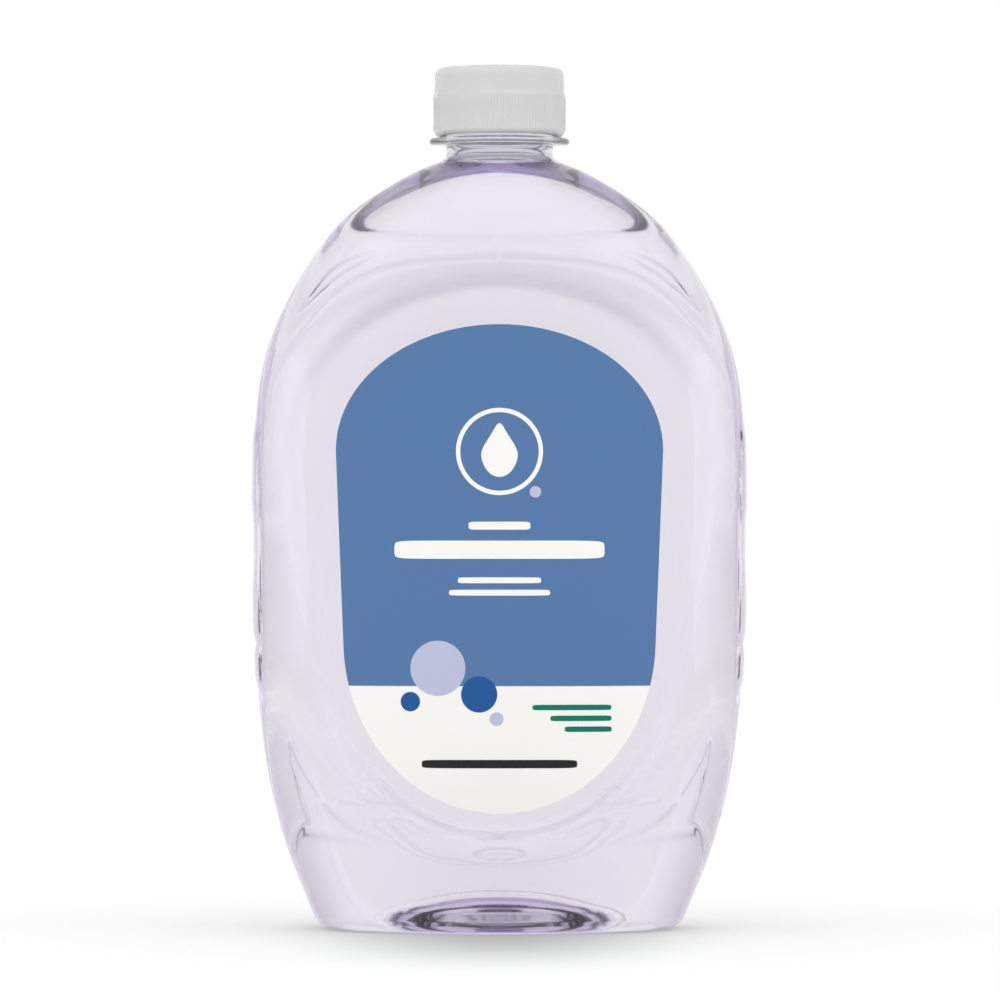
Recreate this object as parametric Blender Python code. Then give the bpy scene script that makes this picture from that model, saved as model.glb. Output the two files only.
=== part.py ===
"""Hand soap refill pack: a blown clear bottle with its screw cap, liner, liquid and two labels.

Metres, +Z up. The origin is the centre of the base on the standing plane; the front label faces -Y.
Run with: blender --background --python part.py
"""

from math import cos, hypot, pi, radians, sin

import bmesh
import bpy
import numpy as np
from mathutils import Vector
from mathutils.bvhtree import BVHTree

MM = 0.001
COLUMNS = 48                  # facets around every round piece, so that neighbouring walls stay parallel

# Bottle body, in millimetres
WALL = 0.9
GAP = 0.3                     # room left between pieces that touch
HEEL_RADIUS = 6.0
HEEL_TILT = radians(23.5)     # how far the wall above the heel leans outwards
BASE_WIDTH = 46.4             # half-width of the flat footprint
BASE_DEPTH = 26.1
PUSH_UP = 11.6                # height of the hollow under the base
RING_INNER = 0.755            # where the standing ring ends, as a share of the footprint
DOME_POWER = 1.26             # fullness of the hollow's profile; 1 would be an ellipse
DOME_STEPS = 5                # rings from the hollow's top to its rim
OVAL_POWER = 2.4              # squareness of the body's oval section; 2 is an ellipse
WALL_BOTTOM = HEEL_RADIUS * (1 - sin(HEEL_TILT))
SHOULDER_TOP = 214.9
HALF_WIDTHS = [
    (WALL_BOTTOM, 51.9), (22, 59.3), (45, 65.0), (70, 67.9), (97, 68.8), (125, 68.9), (149, 67.6),
    (165, 64.0), (180, 57.0), (192, 49.1), (201, 40.4), (208, 29.9), (212.2, 21.9), (SHOULDER_TOP, 15.0),
]
HALF_DEPTHS = [
    (WALL_BOTTOM, 31.6), (22, 34.6), (45, 37.0), (80, 38.8), (120, 39.2), (150, 38.6), (170, 36.6),
    (185, 33.0), (196, 28.4), (205, 22.6), (211, 17.6), (SHOULDER_TOP, 15.0),
]
WALL_HEIGHTS = [
    WALL_BOTTOM, 12, 22, 34, 48, 62, 78, 93, 107, 121, 136, 150, 163, 174, 183, 191, 198, 204, 208.5, 211.5,
    213.4,
]

# Neck finish
NECK_RADIUS = 15.0
BORE_RADIUS = 13.3
NECK_FOOT = 215.6
RING_BOTTOM = 219.0
RING_TOP = 220.8
RING_RADIUS = 19.6
LAND_HEIGHT = 236.9
THREAD_PITCH = 4.233          # six turns to the inch
THREAD_DEPTH = 1.25
THREAD_ROOT = 1.2             # half-width of a ridge where it meets the wall
THREAD_TIP = 0.5
THREAD_EMBED = 0.6            # how deep a ridge is sunk in its wall before the two are welded
THREAD_FADE = 5               # facets over which a ridge grows at each end
NECK_THREAD_START = 227.3     # height of the ridge's middle where it begins, at the front
NECK_THREAD_TURNS = 1.5

# Screw cap and liner
CAP_BOTTOM = 221.5
CAP_TOP = 240.6
CAP_SKIRT_RADIUS = 18.5
CAP_CROWN_RADIUS = 18.2
CAP_STEP_HEIGHT = 233.9       # where the ribbed skirt steps in to the plain crown
CAP_BORE_RADIUS = 16.65
CAP_DECK = 238.9
CAP_EDGE = 2.2                # rounding of the crown's rim
CAP_THREAD_START = 225.5      # just under the neck's ridge, where a tightened cap bears
CAP_THREAD_TURNS = 1.5
LINER_RADIUS = 15.9

# Labels: half an ellipse above, half an ellipse below, and straight tapered sides between
LABEL_WIDTH_TOP = 45.4
LABEL_WIDTH_BOTTOM = 43.3
LABEL_TOP_MIDDLE = 133.4
LABEL_TOP_RISE = 34.7
LABEL_BOTTOM_MIDDLE = 81.2
LABEL_BOTTOM_DROP = 47.9
BACK_LABEL_SHARE = 0.72       # the back label's size as a share of the front label's
LABEL_THICKNESS = 0.15
LABEL_GAP = 0.6               # off the facets of the panel, whose edges stand up between the label's points
LABEL_COLUMNS = 32
FAR_OUT = 200.0               # where the rays that find the panel start
PANEL_DEPTH = 0.9             # how far the label panel lies below the face around it
PANEL_START = 5.0             # the panel's slope begins and ends this far outside the label
PANEL_END = 13.0

# Grip dents in the narrow sides
DENT_HEIGHT = 107.0
DENT_REACH = 14.0             # half-height
DENT_HALF_DEPTH = 15.0
DENT_RELIEF = 0.4


def clear_scene():
    """Remove every object that is already there."""
    for found in list(bpy.data.objects):
        bpy.data.objects.remove(found, do_unlink=True)


def natural_curve(points):
    """A smooth curve through the points, bending least: a natural cubic spline."""
    xs, ys = (np.array(values, float) for values in zip(*points))
    count, steps = len(xs), np.diff(xs)
    system, right = np.eye(count), np.zeros(count)
    for i in range(1, count - 1):
        system[i, i - 1:i + 2] = [steps[i - 1], 2 * (steps[i - 1] + steps[i]), steps[i]]
        right[i] = 6 * ((ys[i + 1] - ys[i]) / steps[i] - (ys[i] - ys[i - 1]) / steps[i - 1])
    bends = np.linalg.solve(system, right)

    def at(x):
        x = min(max(x, xs[0]), xs[-1])
        i = min(max(int(np.searchsorted(xs, x)) - 1, 0), count - 2)
        left = (xs[i + 1] - x) / steps[i]
        rest = 1 - left
        cubic = ((left ** 3 - left) * bends[i] + (rest ** 3 - rest) * bends[i + 1]) * steps[i] ** 2 / 6
        return float(left * ys[i] + rest * ys[i + 1] + cubic)

    return at


half_width = natural_curve(HALF_WIDTHS)
half_depth = natural_curve(HALF_DEPTHS)


def smooth_step(low, high, value):
    share = min(max((value - low) / (high - low), 0.0), 1.0)
    return share * share * (3 - 2 * share)


def oval_power(z):
    """The section is a circle at the neck and squarer down the body."""
    return 2 + (OVAL_POWER - 2) * smooth_step(SHOULDER_TOP, 180.0, z)


def label_width(z):
    """Half the label's width at the height where its sides are straight."""
    share = min(max((z - LABEL_BOTTOM_MIDDLE) / (LABEL_TOP_MIDDLE - LABEL_BOTTOM_MIDDLE), 0.0), 1.0)
    return LABEL_WIDTH_BOTTOM + (LABEL_WIDTH_TOP - LABEL_WIDTH_BOTTOM) * share


def beyond_label(x, z):
    """How far a point of the face lies outside the label's outline; negative inside it."""
    if z > LABEL_TOP_MIDDLE:
        rise, reach = z - LABEL_TOP_MIDDLE, LABEL_TOP_RISE
    elif z < LABEL_BOTTOM_MIDDLE:
        rise, reach = LABEL_BOTTOM_MIDDLE - z, LABEL_BOTTOM_DROP
    else:
        rise, reach = 0.0, 1.0
    radius = hypot(x / label_width(z), rise / reach)
    return hypot(x, rise) * (1 - 1 / radius) if radius > 0.05 else -label_width(z)


def face_relief(x, z):
    """How far the front and back faces lie below the plain oval, in the panel that takes the label."""
    return PANEL_DEPTH * (1 - smooth_step(PANEL_START, PANEL_END, beyond_label(x, z)))


def side_relief(y, z):
    """How far the narrow sides lie below the plain oval, in the grip dent."""
    dent = hypot((z - DENT_HEIGHT) / DENT_REACH, y / DENT_HALF_DEPTH)
    return DENT_RELIEF * (1 - smooth_step(0.4, 1.0, dent))


def body_point(angle, z, inset):
    """A point of the body's wall at a height, `inset` millimetres inside its skin."""
    wide = half_width(z + inset) - inset
    deep = half_depth(z + inset) - inset
    power = oval_power(z)
    scale = (abs(cos(angle)) ** power + abs(sin(angle)) ** power) ** (-1 / power)
    x, y = wide * scale * cos(angle), deep * scale * sin(angle)
    inward_y = face_relief(x, z) * smooth_step(0.15, 0.5, abs(sin(angle)))
    inward_x = side_relief(y, z) * smooth_step(0.5, 0.8, abs(cos(angle)))
    x -= inward_x if x > 0 else -inward_x
    y -= inward_y if y > 0 else -inward_y
    return x, y, z


def oval_point(angle, wide, deep, z):
    """A point of an oval ring with the body's squareness."""
    scale = (abs(cos(angle)) ** OVAL_POWER + abs(sin(angle)) ** OVAL_POWER) ** (-1 / OVAL_POWER)
    return wide * scale * cos(angle), deep * scale * sin(angle), z


def ring(radius, z):
    """A round ring of the neck or the cap."""
    return lambda angle: (radius * cos(angle), radius * sin(angle), z)


def wall_ring(z, inset):
    return lambda angle: body_point(angle, z, inset)


def base_rings(inset):
    """The rings of the base, from its centre out over the hollow, the standing ring and the heel."""
    rings = []
    rim_width = RING_INNER * BASE_WIDTH + inset
    rim_depth = RING_INNER * BASE_DEPTH + inset
    for step in range(DOME_STEPS):
        turn = pi / 2 * step / DOME_STEPS
        height = inset + PUSH_UP * cos(turn) ** DOME_POWER
        rings.append((rim_width * sin(turn), rim_depth * sin(turn), height))
    rings.append((rim_width, rim_depth, inset))
    rings.append((BASE_WIDTH, BASE_DEPTH, inset))
    for step in (1, 2, 3):
        turn = (pi / 2 - HEEL_TILT) * step / 4
        out = (HEEL_RADIUS - inset) * sin(turn)
        height = HEEL_RADIUS - (HEEL_RADIUS - inset) * cos(turn)
        rings.append((BASE_WIDTH + out, BASE_DEPTH + out, height))
    return [lambda angle, oval=oval: oval_point(angle, *oval) for oval in rings]


def rolled(rings, columns=COLUMNS):
    """Roll a flat grid round the Z axis, one row of it on each ring, and weld its seam and its poles.

    Every square is split along the same diagonal, so walls whose rings run in the same order stay parallel.
    """
    mesh = bmesh.new()
    rows = len(rings) - 1
    bmesh.ops.create_grid(mesh, x_segments=columns, y_segments=rows, size=1)
    for vertex in mesh.verts:
        column = round((vertex.co.x + 1) / 2 * columns) % columns
        row = round((vertex.co.y + 1) / 2 * rows)
        vertex.co = rings[row](2 * pi * column / columns - pi / 2)
    bmesh.ops.triangulate(mesh, faces=mesh.faces, quad_method="FIXED")
    bmesh.ops.remove_doubles(mesh, verts=mesh.verts, dist=1e-5)
    bmesh.ops.recalc_face_normals(mesh, faces=mesh.faces)
    return mesh


def helix_ridge(wall_radius, depth, start, turns):
    """A screw ridge that stands off a wall by `depth`, outwards or, where it is negative, inwards."""
    mesh = bmesh.new()
    steps = round(turns * COLUMNS)
    sign = 1 if depth > 0 else -1
    sunk = -THREAD_EMBED * sign
    section = [(sunk, THREAD_ROOT), (sunk, -THREAD_ROOT), (depth, -THREAD_TIP), (depth, THREAD_TIP)]
    previous = None
    for step in range(steps + 1):
        angle = 2 * pi * step / COLUMNS - pi / 2
        grown = min(1.0, (step + 1) / THREAD_FADE, (steps + 1 - step) / THREAD_FADE)
        middle = start + THREAD_PITCH * step / COLUMNS
        corners = []
        for out, up in section:
            radius = wall_radius + (out * grown if out == depth else out)
            corners.append(mesh.verts.new((radius * cos(angle), radius * sin(angle), middle + up)))
        if previous is None:
            mesh.faces.new(corners)
        else:
            for i in range(4):
                mesh.faces.new((previous[i], previous[i - 1], corners[i - 1], corners[i]))
        previous = corners
    mesh.faces.new(reversed(previous))
    bmesh.ops.recalc_face_normals(mesh, faces=mesh.faces)
    return mesh


def material(name, colour, roughness, transmission=0.0, ior=1.5):
    """A plain Principled finish."""
    made = bpy.data.materials.new(name)
    made.use_nodes = True
    shader = made.node_tree.nodes["Principled BSDF"]
    shader.inputs["Base Color"].default_value = (*colour, 1)
    shader.inputs["Roughness"].default_value = roughness
    shader.inputs["Metallic"].default_value = 0.0
    shader.inputs["Transmission Weight"].default_value = transmission
    shader.inputs["IOR"].default_value = ior
    return made


def place(name, mesh, finish):
    """Turn a bmesh drawn in millimetres into an object in metres."""
    bmesh.ops.scale(mesh, vec=(MM, MM, MM), verts=mesh.verts)
    data = bpy.data.meshes.new(name)
    mesh.to_mesh(data)
    mesh.free()
    data.shade_smooth()
    data.set_sharp_from_angle(angle=radians(35))
    made = bpy.data.objects.new(name, data)
    bpy.context.scene.collection.objects.link(made)
    if finish:
        data.materials.append(finish)
    return made


def join_ridge(target, name, ridge):
    """Weld a screw ridge to its wall with a live Boolean, and keep the ridge itself as a guide."""
    guide = place(name, ridge, None)
    guide.hide_render = True
    guide.display_type = "WIRE"
    union = target.modifiers.new("thread", "BOOLEAN")
    union.operation = "UNION"
    union.solver = "EXACT"
    union.object = guide


def build_bottle():
    """The blown bottle: hollow base, oval body, round neck with its ring, and the wall's inside."""
    outside = base_rings(0.0) + [wall_ring(z, 0.0) for z in WALL_HEIGHTS]
    neck = [
        ring(NECK_RADIUS + 0.4, 214.8),
        ring(NECK_RADIUS, NECK_FOOT),
        ring(NECK_RADIUS, RING_BOTTOM),
        ring(RING_RADIUS - 0.6, RING_BOTTOM),
        ring(RING_RADIUS, RING_BOTTOM + 0.5),
        ring(RING_RADIUS, RING_TOP - 0.5),
        ring(RING_RADIUS - 0.6, RING_TOP),
        ring(NECK_RADIUS, RING_TOP),
        ring(NECK_RADIUS, LAND_HEIGHT - 0.4),
        ring(NECK_RADIUS - 0.4, LAND_HEIGHT),
        ring(BORE_RADIUS + 0.3, LAND_HEIGHT),
        ring(BORE_RADIUS, LAND_HEIGHT - 0.3),
        ring(BORE_RADIUS, 216.0),
        ring(BORE_RADIUS + 0.2, 214.4),
    ]
    inside = [wall_ring(z, WALL) for z in reversed(WALL_HEIGHTS)] + base_rings(WALL)[::-1]
    finish = material("clear_pet", (0.90, 0.88, 0.95), 0.05, transmission=0.9, ior=1.57)
    bottle = place("bottle", rolled(outside + neck + inside), finish)
    ridge = helix_ridge(NECK_RADIUS, THREAD_DEPTH, NECK_THREAD_START, NECK_THREAD_TURNS)
    join_ridge(bottle, "neck_thread_guide", ridge)
    return bottle


def build_soap():
    """The liquid, which fills the body up to the foot of the neck.

    Its rings run downwards, as those of the bottle's inside do.
    """
    inset = WALL + GAP
    walls = [wall_ring(z, inset) for z in reversed(WALL_HEIGHTS)]
    rings = [ring(0.0, WALL_HEIGHTS[-1])] + walls + base_rings(inset)[::-1]
    finish = material("lavender_liquid", (0.86, 0.84, 0.93), 0.05, transmission=0.9, ior=1.37)
    return place("hand_soap", rolled(rings), finish)


def build_cap():
    """The screw cap: ribbed skirt, plain crown with a rounded rim, and the bore with its inner ridge."""
    rim = [
        ring(CAP_CROWN_RADIUS - CAP_EDGE * (1 - sin(turn)), CAP_TOP - CAP_EDGE * (1 - cos(turn)))
        for turn in (pi / 2, pi / 3, pi / 6, 0.0)
    ]
    rings = [
        ring(CAP_BORE_RADIUS + 0.3, CAP_BOTTOM),
        ring(CAP_SKIRT_RADIUS - 0.8, CAP_BOTTOM),
        ring(CAP_SKIRT_RADIUS, CAP_BOTTOM + 1.4),
        ring(CAP_SKIRT_RADIUS, CAP_STEP_HEIGHT),
        ring(CAP_CROWN_RADIUS, CAP_STEP_HEIGHT + 0.3),
        *rim,
        ring(0.0, CAP_TOP),
        ring(0.0, CAP_DECK),
        ring(CAP_BORE_RADIUS - 0.4, CAP_DECK),
        ring(CAP_BORE_RADIUS, CAP_DECK - 0.4),
        ring(CAP_BORE_RADIUS, CAP_BOTTOM + 0.3),
        ring(CAP_BORE_RADIUS + 0.3, CAP_BOTTOM),
    ]
    finish = material("natural_pp", (0.80, 0.80, 0.82), 0.35, transmission=0.3, ior=1.49)
    cap = place("cap", rolled(rings), finish)
    ridge = helix_ridge(CAP_BORE_RADIUS, -THREAD_DEPTH, CAP_THREAD_START, CAP_THREAD_TURNS)
    join_ridge(cap, "cap_thread_guide", ridge)
    return cap


def build_liner():
    """The foam seal pressed under the cap's deck."""
    top = CAP_DECK - GAP
    bottom = LAND_HEIGHT + GAP
    rings = [ring(0.0, bottom), ring(LINER_RADIUS, bottom), ring(LINER_RADIUS, top), ring(0.0, top)]
    finish = material("foam_liner", (0.88, 0.88, 0.86), 0.8)
    return place("cap_liner", rolled(rings), finish)


def face_finder(bottle):
    """A function that gives how far the bottle's own facets stand out at a place on its front or back."""
    corners = [vertex.co.copy() for vertex in bottle.data.vertices]
    tree = BVHTree.FromPolygons(corners, [face.vertices[:] for face in bottle.data.polygons])

    def stands_out(x, z, side):
        start = Vector((x * MM, side * FAR_OUT * MM, z * MM))
        hit = tree.ray_cast(start, Vector((0, -side, 0)))[0]
        return abs(hit.y) / MM

    return stands_out


def label_point(angle, share, side, offset, stands_out):
    """A point of a label: `share` of the way from its middle to its edge, `offset` off the face."""
    if sin(angle) > 0:
        x = LABEL_WIDTH_TOP * cos(angle)
        z = LABEL_TOP_MIDDLE + LABEL_TOP_RISE * sin(angle)
    else:
        x = LABEL_WIDTH_BOTTOM * cos(angle)
        z = LABEL_BOTTOM_MIDDLE + LABEL_BOTTOM_DROP * sin(angle)
    middle = (LABEL_TOP_MIDDLE + LABEL_BOTTOM_MIDDLE) / 2
    x, z = x * share, middle + (z - middle) * share
    return x, side * (stands_out(x, z, side) + offset), z


def build_label(name, side, size, stands_out):
    """A label on the front (side -1) or the back (side 1), laid on the panel."""
    shares = [size * step / 5 for step in range(6)]
    rows = [(share, LABEL_GAP) for share in shares]
    rows += [(share, LABEL_GAP + LABEL_THICKNESS) for share in reversed(shares)]
    rings = [
        lambda angle, share=share, offset=offset: label_point(angle, share, side, offset, stands_out)
        for share, offset in rows
    ]
    finish = material(name + "_print", (0.11, 0.22, 0.42), 0.5)
    return place(name, rolled(rings, LABEL_COLUMNS), finish)


def main():
    clear_scene()
    bottle = build_bottle()
    build_soap()
    build_cap()
    build_liner()
    stands_out = face_finder(bottle)
    build_label("front_label", -1, 1.0, stands_out)
    build_label("back_label", 1, BACK_LABEL_SHARE, stands_out)


main()
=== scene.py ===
"""The looks of a hand soap refill pack: a clear blown bottle of pale liquid with a screw cap and labels.

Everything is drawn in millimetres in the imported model's own frame and turned into metres at the end:
+Z is up, the origin is the middle of the standing plane, and the front label faces -Y.
"""
from __future__ import annotations

import logging
from dataclasses import dataclass, field
from enum import Enum
from math import cos, pi, radians, sin
from typing import Callable, Sequence

import bmesh
import bpy
import numpy as np
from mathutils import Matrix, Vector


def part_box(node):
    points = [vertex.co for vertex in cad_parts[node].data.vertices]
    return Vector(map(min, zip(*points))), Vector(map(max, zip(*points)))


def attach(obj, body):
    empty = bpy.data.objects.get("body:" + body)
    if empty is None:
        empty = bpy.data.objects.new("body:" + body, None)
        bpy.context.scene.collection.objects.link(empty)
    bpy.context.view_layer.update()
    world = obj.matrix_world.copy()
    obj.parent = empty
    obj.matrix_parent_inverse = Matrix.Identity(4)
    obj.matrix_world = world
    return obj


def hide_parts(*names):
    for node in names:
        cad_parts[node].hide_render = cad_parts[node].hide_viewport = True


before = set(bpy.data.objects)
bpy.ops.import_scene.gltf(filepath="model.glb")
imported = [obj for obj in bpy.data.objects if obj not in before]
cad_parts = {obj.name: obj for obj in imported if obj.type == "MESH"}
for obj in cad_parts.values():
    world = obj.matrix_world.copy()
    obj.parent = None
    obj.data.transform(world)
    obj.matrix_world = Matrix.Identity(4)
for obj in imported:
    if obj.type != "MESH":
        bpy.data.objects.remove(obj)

MM = 0.001
TINY = 1e-6
log = logging.getLogger("refill_pack")

REMEMBERED = ("east", "north", "height")
# name of the mesh attribute that holds the painted shade along the wall's folds
PAINTED_FOLD_SHADE = "painted_fold_shade"

Array = np.ndarray
Ring = Callable[[Array], tuple[Array, Array, Array]]


# ---------------------------------------------------------------- shape helpers

def smooth_step(low: float | Array, high: float | Array, value: Array) -> Array:
    """Rise smoothly from 0 at `low` to 1 at `high`.

    Args:
        low: value at which the rise starts.
        high: value at which it ends; it may be the smaller one.
        value: where to read the rise.

    Returns:
        The rise, from 0 to 1.
    """
    share = np.clip((value - low) / (high - low), 0.0, 1.0)
    return share * share * (3 - 2 * share)


def evenly(angle: Array, x: Array, z: Array) -> tuple[Array, Array]:
    """Read a closed outline evenly along its length.

    Args:
        angle: how far round, with a full turn for the whole outline and its first point at -pi/2.
        x: the outline's points across.
        z: their heights.

    Returns:
        The x and z of the places asked for.
    """
    length = np.concatenate([[0.0], np.cumsum(np.hypot(np.diff(x), np.diff(z)))])
    share = np.mod(angle + pi / 2, 2 * pi) / (2 * pi) * length[-1]
    return np.interp(share, length, x), np.interp(share, length, z)


class SmoothCurve:
    """A natural cubic spline through a few points of an outline."""

    def __init__(self, points: Sequence[tuple[float, float]]) -> None:
        """Solve the spline's bends.

        Args:
            points: places and values, in rising order of place.
        """
        self.places, self.values = (np.array(row, float) for row in zip(*points))
        self.steps = np.diff(self.places)
        count = len(self.places)
        system, right = np.eye(count), np.zeros(count)
        for i in range(1, count - 1):
            before, after = self.steps[i - 1], self.steps[i]
            system[i, i - 1:i + 2] = [before, 2 * (before + after), after]
            rise_after = (self.values[i + 1] - self.values[i]) / after
            rise_before = (self.values[i] - self.values[i - 1]) / before
            right[i] = 6 * (rise_after - rise_before)
        self.bends = np.linalg.solve(system, right)

    def __call__(self, place: Array | float) -> Array:
        """Read the curve at one place or many; past its ends it keeps its last value."""
        place = np.clip(place, self.places[0], self.places[-1])
        i = np.clip(np.searchsorted(self.places, place) - 1, 0, len(self.steps) - 1)
        left = (self.places[i + 1] - place) / self.steps[i]
        rest = 1 - left
        cubic = (left ** 3 - left) * self.bends[i] + (rest ** 3 - rest) * self.bends[i + 1]
        return left * self.values[i] + rest * self.values[i + 1] + cubic * self.steps[i] ** 2 / 6


@dataclass(frozen=True)
class Stroke:
    """A fine line that the mould leaves on a face, mirrored left and right.

    Attributes:
        points: (distance from the middle line, height) of the line's course.
        height: how far it stands out; negative where it is pressed in.
        painted_shade: how much darker painted shade makes the wall along it, from 0 to 1.
        spread: half-width at which it has mostly died away.
        fade_start: share of its length over which it grows in.
        fade_end: share of its length over which it dies out.
    """

    points: tuple[tuple[float, float], ...]
    height: float
    spread: float
    painted_shade: float = 1.0
    fade_start: float = 0.25
    fade_end: float = 0.25
    samples: int = 48

    def strength(self, x: Array, z: Array) -> Array:
        """How strongly each point of the face feels the line, from 0 to 1."""
        stops = np.linspace(0, 1, len(self.points))
        along = np.linspace(0, 1, self.samples)
        line_x = SmoothCurve(list(zip(stops, (p[0] for p in self.points))))(along)
        line_z = SmoothCurve(list(zip(stops, (p[1] for p in self.points))))(along)
        nearest = np.full(x.shape, np.inf)
        share = np.zeros(x.shape)
        for i in range(self.samples - 1):
            run_x, run_z = line_x[i + 1] - line_x[i], line_z[i + 1] - line_z[i]
            square = run_x ** 2 + run_z ** 2
            t = np.clip(((np.abs(x) - line_x[i]) * run_x + (z - line_z[i]) * run_z) / square, 0, 1)
            away = np.hypot(np.abs(x) - line_x[i] - t * run_x, z - line_z[i] - t * run_z)
            closer = away < nearest
            nearest = np.where(closer, away, nearest)
            share = np.where(closer, along[i] + t / (self.samples - 1), share)
        grown = smooth_step(-TINY, self.fade_start, share)
        grown = grown * smooth_step(1.0 + TINY, 1.0 - self.fade_end, share)
        return grown * np.exp(-(nearest / self.spread) ** 2)


# ---------------------------------------------------------------- the bottle's form

@dataclass(frozen=True)
class LabelOutline:
    """Half an ellipse above, half an ellipse below, straight tapered sides between them."""

    width_top: float = 45.4
    width_bottom: float = 43.3
    top_middle: float = 133.4
    top_rise: float = 34.7
    bottom_middle: float = 81.2
    bottom_drop: float = 47.9

    @property
    def middle(self) -> float:
        """Height of the label's middle."""
        return (self.top_middle + self.bottom_middle) / 2

    def point(self, angle: Array, size: float = 1.0) -> tuple[Array, Array]:
        """The outline's (x, z) evenly round it, shrunk towards the middle by `size`.

        Args:
            angle: how far round, with a full turn for the whole outline and its lowest point at -pi/2.
            size: share of the full outline.

        Returns:
            The points' x and z.
        """
        turn = np.linspace(-pi / 2, 3 * pi / 2, 801)
        upper = np.sin(turn) > 0
        x = np.where(upper, self.width_top, self.width_bottom) * np.cos(turn)
        z = np.where(upper, self.top_middle, self.bottom_middle)
        z = z + np.where(upper, self.top_rise, self.bottom_drop) * np.sin(turn)
        x, z = evenly(angle, x, z)
        return x * size, self.middle + (z - self.middle) * size

    def beyond(self, x: Array, z: Array) -> Array:
        """How far each point of the face lies outside the outline; negative inside it."""
        span = self.top_middle - self.bottom_middle
        share = np.clip((z - self.bottom_middle) / span, 0, 1)
        width = self.width_bottom + (self.width_top - self.width_bottom) * share
        above, below = z > self.top_middle, z < self.bottom_middle
        rise = np.where(above, z - self.top_middle, np.where(below, self.bottom_middle - z, 0.0))
        reach = np.where(above, self.top_rise, self.bottom_drop)
        radius = np.maximum(np.hypot(x / width, rise / reach), 0.02)
        return np.hypot(x, rise) * (1 - 1 / radius)


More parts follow.
